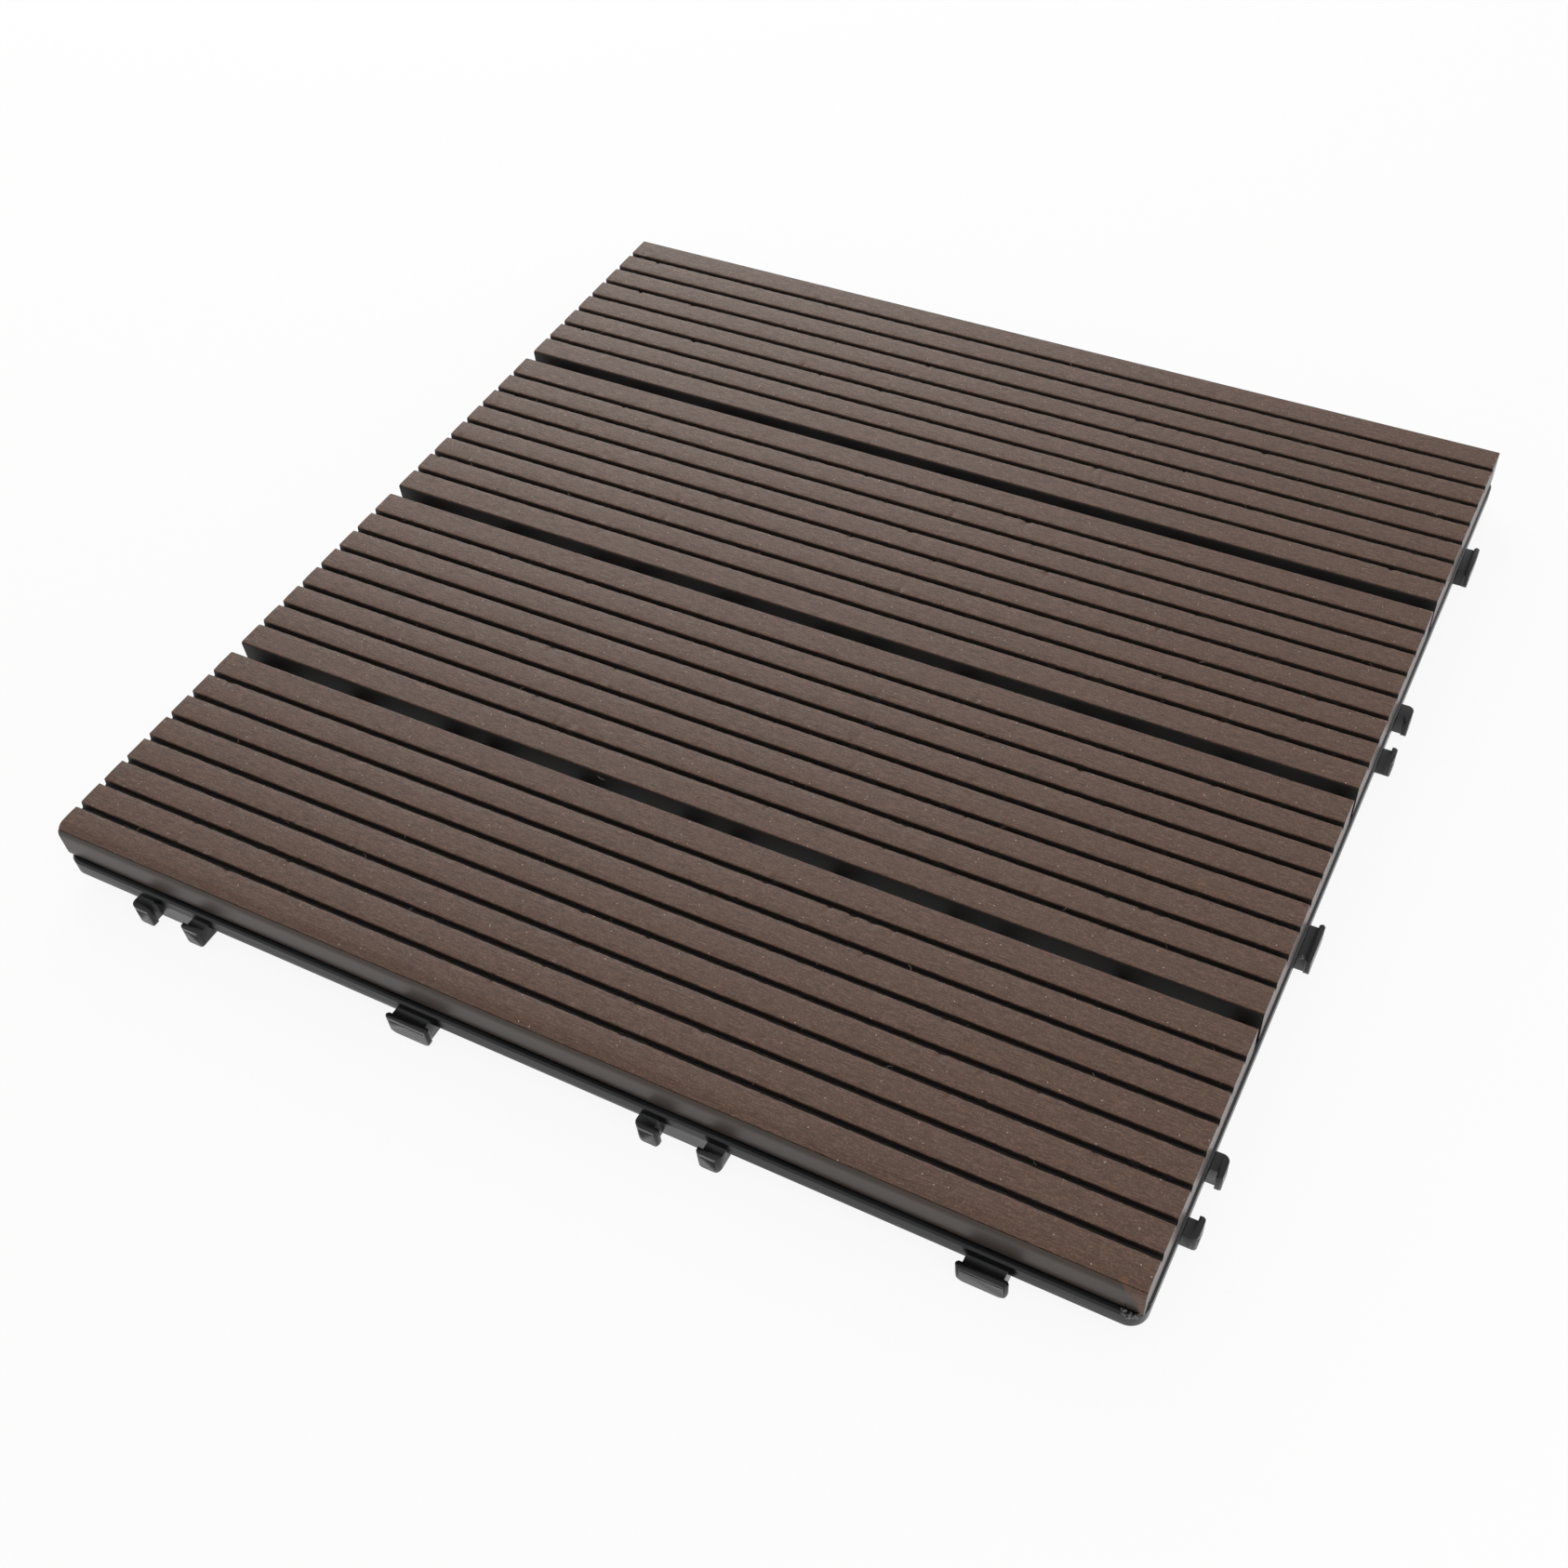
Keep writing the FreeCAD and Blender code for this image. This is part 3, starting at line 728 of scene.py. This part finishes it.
SCREW_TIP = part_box("slat_screws")[1].z
SCREW_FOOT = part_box("slat_screws")[0].z
SCREW_L = (SCREW_TIP - SCREW_FOOT) / MM
half = [(0.0, 0.0), (HEAD_R * 0.45, 0.1), (HEAD_R * 0.8, 0.45), (HEAD_R * 0.97, 1.05),
        (HEAD_R, 1.6), (HEAD_R, HEAD_H - 0.15), (HEAD_R - 0.15, HEAD_H), (SHANK_R, HEAD_H)]
turn_z = HEAD_H + NECK_L
while turn_z < SCREW_L - 2.0 * THREAD_PITCH:
    half += [(CORE_R, turn_z), (SHANK_R, turn_z + THREAD_PITCH * 0.4),
             (CORE_R, turn_z + THREAD_PITCH * 0.8)]
    turn_z += THREAD_PITCH
half += [(CORE_R, SCREW_L - POINT_L), (0.0, SCREW_L)]
work = bmesh.new()
spine = [work.verts.new((r * MM, 0.0, z * MM)) for r, z in half]
lines = [work.edges.new(pair) for pair in zip(spine, spine[1:])]
bmesh.ops.spin(work, geom=spine + lines, cent=(0, 0, 0), axis=(0, 0, 1), angle=2.0 * math.pi,
               steps=SPIN_STEPS, use_merge=True)
bmesh.ops.remove_doubles(work, verts=work.verts, dist=SEAM_WITHIN * MM)
bmesh.ops.recalc_face_normals(work, faces=work.faces)
blank = new_object("screw_blank", written_out(work, "screw_turned"))

work = bmesh.new()
for wide, deep in ((CROSS[0], CROSS[1]), (CROSS[1], CROSS[0])):
    block = bmesh.ops.create_cube(work, size=1.0)["verts"]
    bmesh.ops.scale(work, vec=(wide * MM, deep * MM, 2.0 * CROSS[2] * MM), verts=block)
bit = new_object("cross_bit", written_out(work, "cross_bit"))
cut = blank.modifiers.new("cross recess", "BOOLEAN")
cut.object = bit
cut.solver = "EXACT"
cut.use_self = True
screw_mesh = evaluated_mesh(blank)
for helper in (bit, blank):
    bpy.data.objects.remove(helper)
print("one screw:", len(screw_mesh.polygons), "faces,", round(SCREW_L, 2), "mm long")

# %% Geometry Nodes: one screw on every boss
SCREW_X = 114.45            # mm from the middle
SCREW_Y = 38.15             # half the way from one screw line to the next
SCREW_SEED = 5
screw_spots = bpy.data.meshes.new("screw_spots")
screw_spots.from_pydata([(sx * SCREW_X * MM, k * SCREW_Y * MM, SCREW_FOOT)
                         for sx in (-1, 1) for k in (-3, -1, 1, 3)], [], [])

driver, given = geometry_tree("screws on bosses", [
    ("Screw", "Object"), ("Finish", "Material"), ("Seed", "Int")])
one = add(driver, "GeometryNodeObjectInfo", {"Object": (given, "Screw")})
turn = add(driver, "FunctionNodeRandomValue", {0: (0.0, 0.0, 0.0), 1: (0.0, 0.0, 2.0 * math.pi),
           "Seed": (given, "Seed")}, data_type="FLOAT_VECTOR")
placed = add(driver, "GeometryNodeInstanceOnPoints", {"Points": (given, "Geometry"),
             "Instance": (one, "Geometry"), "Rotation": turn})
placed = add(driver, "GeometryNodeRealizeInstances", {"Geometry": placed})
placed = add(driver, "GeometryNodeSetMaterial", {"Geometry": placed, "Material": (given, "Finish")})
add(driver, "NodeGroupOutput", {0: placed})

master = new_object("screw_master", screw_mesh)
grow("pan_head_screws", screw_spots, driver, {"Screw": master, "Finish": zinc, "Seed": SCREW_SEED},
     instead_of=["slat_screws"])
bpy.data.objects.remove(master)

# %% [markdown]
# ## Loose fibres
# Brushing leaves wood fibres hanging at the edges of the ribs. They are
# thinner than a hair and one or two millimetres long. A tree strews points
# over narrow strips along the rib edges, puts a bent tube on each, and turns
# and scales it at random with a fixed seed. The few that the photograph
# shows are drawn one by one.

# %% Material: loose wood fibre
BLEACHED_PATCH = 6.0        # mm

fibre, tree, shader, place = new_material("wood fibre, torn loose by the brush", Roughness=0.7,
                                          Specular_IOR_Level=0.3)
hue = add(tree, NOISE, {"Vector": (place, "Object"), "Scale": per_metre(BLEACHED_PATCH)})
bleached = add(tree, RANGE, {0: hue, 1: 0.4, 2: 0.6}, **SOFT)
colour = add(tree, MIX, {"Factor": bleached, "A": "#5b4336", "B": "#a58f80"}, **COLOURS)
tree.links.new(colour.outputs[2], shader.inputs["Base Color"])

# %% Strips along the rib edges
FIBRE_R = 0.045
FIBRE_BEND_R = 1.3
FIBRE_ARC = 75.0            # degrees
FIBRE_TILT = 0.12           # radians, out of the level
FIBRE_SMALLEST = 0.35       # share of the full size
FIBRE_PER_M2 = 26000.0
FIBRE_SEED = 11
STRIP_W = 0.5
STRIP_DOWN = 0.35           # below the top of the ribs
STRIP_Z = SEAT_Z + (SLAT_T - STRIP_DOWN) * MM

strip_points = []
for node in SLAT_NODES:
    low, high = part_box(node)
    middle_y = (low.y + high.y) / 2.0
    for i in range(GROOVES):
        c = middle_y + (i - (GROOVES - 1) / 2.0) * GROOVE_PITCH * MM
        for side in (-1, 1):
            inner = c + (side * GROOVE_W - STRIP_W) / 2.0 * MM
            outer = c + (side * GROOVE_W + STRIP_W) / 2.0 * MM
            strip_points += [(low.x, inner, STRIP_Z), (high.x, inner, STRIP_Z),
                             (high.x, outer, STRIP_Z), (low.x, outer, STRIP_Z)]
strip_mesh = bpy.data.meshes.new("rib_edges")
strip_mesh.from_pydata(strip_points, [], [tuple(range(i, i + 4)) for i in range(0, len(strip_points), 4)])
print("strips:", len(strip_mesh.polygons))

# %% Geometry Nodes: fibres along the rib edges
brush, given = geometry_tree("loose fibres", [
    ("Density", "Float"), ("Bend Radius", "Float"), ("Fibre Radius", "Float"),
    ("Finish", "Material"), ("Seed", "Int")])
strewn = add(brush, "GeometryNodeDistributePointsOnFaces", {"Mesh": (given, "Geometry"),
             "Density": (given, "Density"), "Seed": (given, "Seed")})
bend = add(brush, "GeometryNodeCurveArc", {"Resolution": 6, "Radius": (given, "Bend Radius"),
           "Sweep Angle": math.radians(FIBRE_ARC)})
round_wire = add(brush, "GeometryNodeCurvePrimitiveCircle", {"Resolution": 4,
                 "Radius": (given, "Fibre Radius")})
one = add(brush, "GeometryNodeCurveToMesh", {"Curve": bend, "Profile Curve": round_wire,
          "Fill Caps": True})
turn = add(brush, "FunctionNodeRandomValue", {0: (-FIBRE_TILT, -FIBRE_TILT, 0.0),
           1: (FIBRE_TILT, FIBRE_TILT, 2.0 * math.pi), "Seed": (given, "Seed")},
           data_type="FLOAT_VECTOR")
size = add(brush, "FunctionNodeRandomValue", {2: FIBRE_SMALLEST, 3: 1.0, "Seed": (given, "Seed")},
           data_type="FLOAT")
placed = add(brush, "GeometryNodeInstanceOnPoints", {"Points": strewn, "Instance": one,
             "Rotation": turn, "Scale": size})
placed = add(brush, "GeometryNodeRealizeInstances", {"Geometry": placed})
placed = add(brush, "GeometryNodeSetMaterial", {"Geometry": placed, "Material": (given, "Finish")})
add(brush, "NodeGroupOutput", {0: placed})
grow("loose_fibres", strip_mesh, brush, {"Density": FIBRE_PER_M2, "Bend Radius": FIBRE_BEND_R * MM,
     "Fibre Radius": FIBRE_R * MM, "Finish": fibre, "Seed": FIBRE_SEED})

# %% Fibres that the photograph shows
STRANDS = (                 # x, y, drop and length in mm, heading and bend in degrees
    (-142.0, -146.3, 0.16, 2.6, 55, 160), (-140.6, -144.9, 0.0, 1.6, 300, -90),
    (-27.6, -74.6, 0.35, 2.4, 195, -60), (138.6, -85.3, 0.0, 1.8, 40, 80),
    (-68.9, -123.2, 0.0, 2.4, 75, 130), (-59.4, -123.0, 0.0, 1.6, 265, 50),
    (-41.1, -132.2, 0.0, 1.8, 95, 100), (-128.8, -140.3, 0.0, 1.4, 110, -70))
STRAND_R = 0.06
STRAND_STEPS = 8
STRAND_DIP = 0.12           # the two ends hang this much lower than the middle
STRAND_TAPER = 0.5          # share of the radius that is lost by the tip

strand_curve = bpy.data.curves.new("strands", "CURVE")
strand_curve.dimensions = "3D"
strand_curve.bevel_depth = STRAND_R * MM
strand_curve.bevel_resolution = 0
strand_curve.use_fill_caps = True
for x, y, drop, length, heading, bend_angle in STRANDS:
    run = strand_curve.splines.new("POLY")
    run.points.add(STRAND_STEPS)
    angle = math.radians(heading)
    for k in range(STRAND_STEPS + 1):
        lift = SLAT_T - STRAND_R - drop - STRAND_DIP * (2.0 * k / STRAND_STEPS - 1.0) ** 2
        run.points[k].co = (x * MM, y * MM, SEAT_Z + lift * MM, 1.0)
        run.points[k].radius = 1.0 - STRAND_TAPER * k / STRAND_STEPS
        x += math.cos(angle) * length / STRAND_STEPS
        y += math.sin(angle) * length / STRAND_STEPS
        angle += math.radians(bend_angle) / STRAND_STEPS
drawn = new_object("strands", strand_curve)
strand_mesh = evaluated_mesh(drawn)
bpy.data.objects.remove(drawn)
strand_mesh.materials.clear()
strand_mesh.materials.append(fibre)
hand_over(new_object("torn_strands", strand_mesh))

# %% [markdown]
# ## Floor and light
# A plain white floor, a soft white room, one large soft light behind the left
# side, which lays a sheen over the far left corner of the tile, and a weak
# one on the right that lights the sawn ends. The camera and every mirror see
# the floor a good part of the way to plain white, as in a studio, while its
# light on the object stays as it is.

# %% Floor
FLOOR_HALF = 3.0
FLOOR_DOWN = 0.02           # mm under the tile's feet
PAPER_GLOW = 0.9            # share of plain white in what the camera sees of the paper
RAYS = ("Is Camera Ray", "Is Glossy Ray", "Is Transmission Ray")
floor_mesh = bpy.data.meshes.new("floor")
floor_mesh.from_pydata([(-FLOOR_HALF, -FLOOR_HALF, 0), (FLOOR_HALF, -FLOOR_HALF, 0),
                        (FLOOR_HALF, FLOOR_HALF, 0), (-FLOOR_HALF, FLOOR_HALF, 0)],
                       [], [(0, 1, 2, 3)])
floor = new_object("floor", floor_mesh)
floor.location.z = -FLOOR_DOWN * MM
paper, tree, shader, place = new_material("paper backdrop, matt white", Roughness=0.9,
                                          Specular_IOR_Level=0.1)
shader.inputs["Base Color"].default_value = linear("#f7f7f6")


def seen_directly(tree):
    """1 for a ray from the camera, a mirror or a glass, 0 for the light itself."""
    rays = add(tree, "ShaderNodeLightPath")
    seen = add(tree, MATH, {0: (rays, RAYS[0]), 1: (rays, RAYS[1])}, operation="MAXIMUM")
    return add(tree, MATH, {0: seen, 1: (rays, RAYS[2])}, operation="MAXIMUM")


white = add(tree, "ShaderNodeEmission", {"Strength": 1.0})
veil = add(tree, MATH, {0: seen_directly(tree), 1: PAPER_GLOW}, operation="MULTIPLY")
blend = add(tree, "ShaderNodeMixShader", {0: veil, 1: shader, 2: white})
tree.links.new(blend.outputs[0], tree.nodes["Material Output"].inputs["Surface"])
floor_mesh.materials.append(paper)
print("floor:", 2.0 * FLOOR_HALF, "m across")

# %% Lights
ROOM = 0.66

world = bpy.data.worlds.new("soft room")
scene.world = world
world.use_nodes = True
tree = world.node_tree
sky = tree.nodes["Background"]
sky.inputs["Color"].default_value = (1.0, 1.0, 1.0, 1.0)
strength = add(tree, RANGE, {0: seen_directly(tree), 3: ROOM, 4: 1.0})
tree.links.new(strength.outputs[0], sky.inputs["Strength"])


def soft_light(name, azimuth, elevation, distance, size, power):
    """A square soft box that points at the tile; azimuth 0 is the front side."""
    lamp = new_object(name, bpy.data.lights.new(name, "AREA"))
    lamp.data.shape = "SQUARE"
    lamp.data.size = size
    lamp.data.energy = power
    az = math.radians(azimuth)
    el = math.radians(elevation)
    way = Vector((math.sin(az) * math.cos(el), -math.cos(az) * math.cos(el), math.sin(el)))
    lamp.location = way * distance
    lamp.rotation_euler = way.to_track_quat("Z", "Y").to_euler()


soft_light("soft box, back left", azimuth=218, elevation=30, distance=1.05, size=0.8, power=4.0)
soft_light("soft box, front right", azimuth=62, elevation=22, distance=0.62, size=0.3, power=0.5)
print("room strength:", ROOM)
